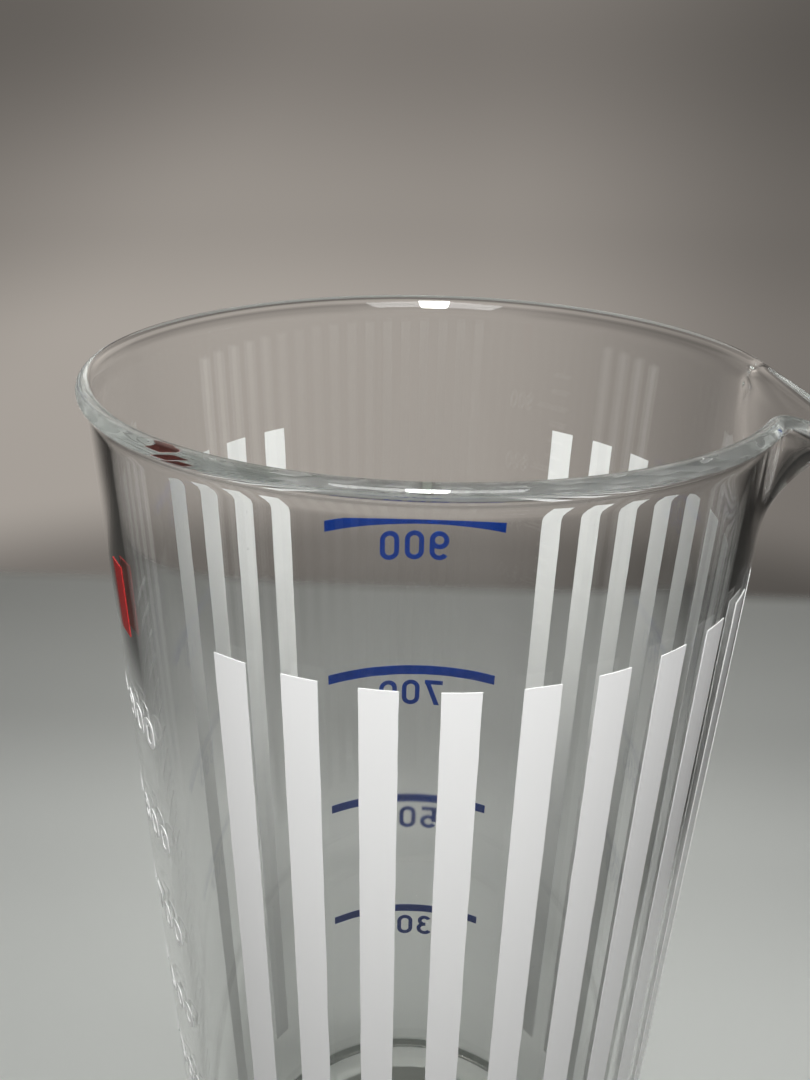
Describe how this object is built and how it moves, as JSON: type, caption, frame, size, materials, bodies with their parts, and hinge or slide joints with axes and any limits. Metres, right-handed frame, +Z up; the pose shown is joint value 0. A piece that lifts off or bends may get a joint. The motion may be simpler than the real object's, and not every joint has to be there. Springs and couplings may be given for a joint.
{
  "type": "measuring cup",
  "caption": "Tall clear glass measuring cup with a pouring spout, fired white stripes, blue graduation bars and a printed millilitre scale.",
  "frame": {"origin": "centre of the foot's underside, in the plane that the cup rests on", "axes": "+Z up along the glass's axis, +X towards the pouring spout"},
  "size_m": [0.0979, 0.09, 0.2108],
  "materials": {
    "clear_glass": "polished",
    "white_enamel": "gloss",
    "blue_enamel": "gloss",
    "red_enamel": "gloss"
  },
  "bodies": {
    "root": {"glass_cup": "clear_glass", "front_stripes": "white_enamel", "side_stripes": "white_enamel", "blue_bars": "blue_enamel", "blue_numerals": "blue_enamel", "scale_lines": "white_enamel", "scale_numerals": "white_enamel", "red_top_mark": "red_enamel"}
  },
  "joints": []
}
